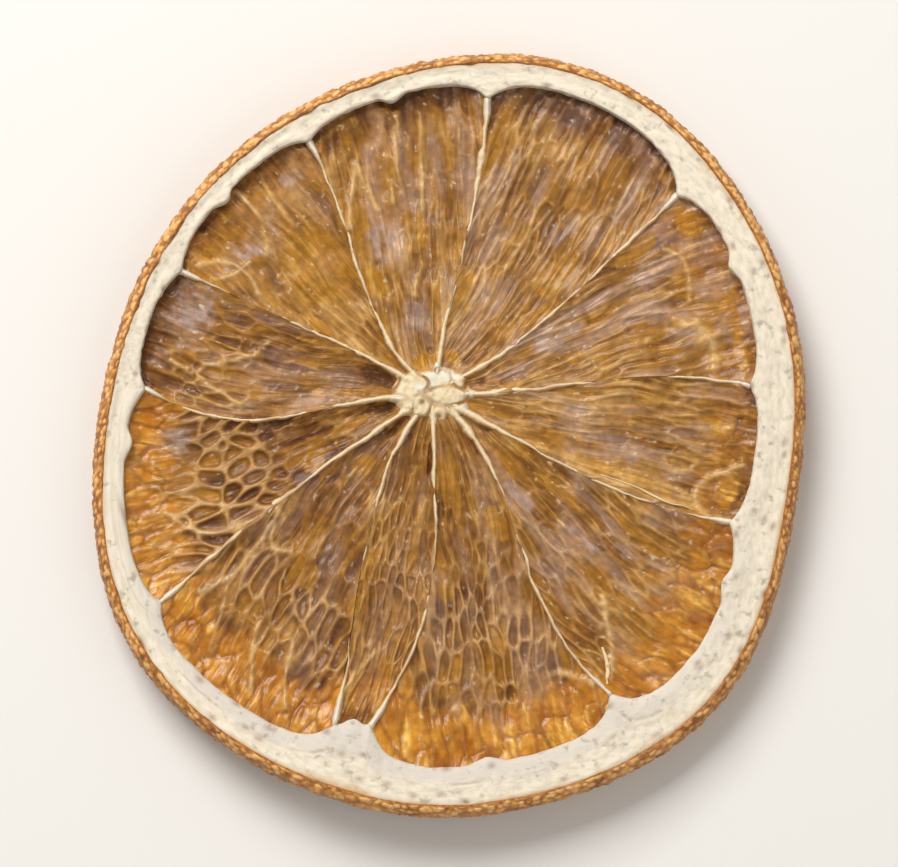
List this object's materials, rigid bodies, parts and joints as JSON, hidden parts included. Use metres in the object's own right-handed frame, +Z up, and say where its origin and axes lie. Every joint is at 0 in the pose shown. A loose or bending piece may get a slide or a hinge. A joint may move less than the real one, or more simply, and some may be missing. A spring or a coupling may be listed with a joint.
{
  "type": "dried orange slice",
  "caption": "Whole round cross-cut slice of a dried orange: a raised, slightly curled rind rim round thin standing membranes and sunken dried pulp.",
  "frame": {"origin": "on the ground, below the middle of the slice's box", "axes": "+Z up out of the slice's face, +Y along its longer width, which is the picture's up direction"},
  "size_m": [0.0536, 0.0576, 0.0054],
  "materials": {
    "pith": "matt, fibrous white pith",
    "peel": "dried oily peel, pitted",
    "pulp": "dried pulp, wrinkled and half glossy",
    "membrane": "thin dried membrane"
  },
  "bodies": {
    "root": {"orange_slice": "pith"}
  },
  "joints": []
}
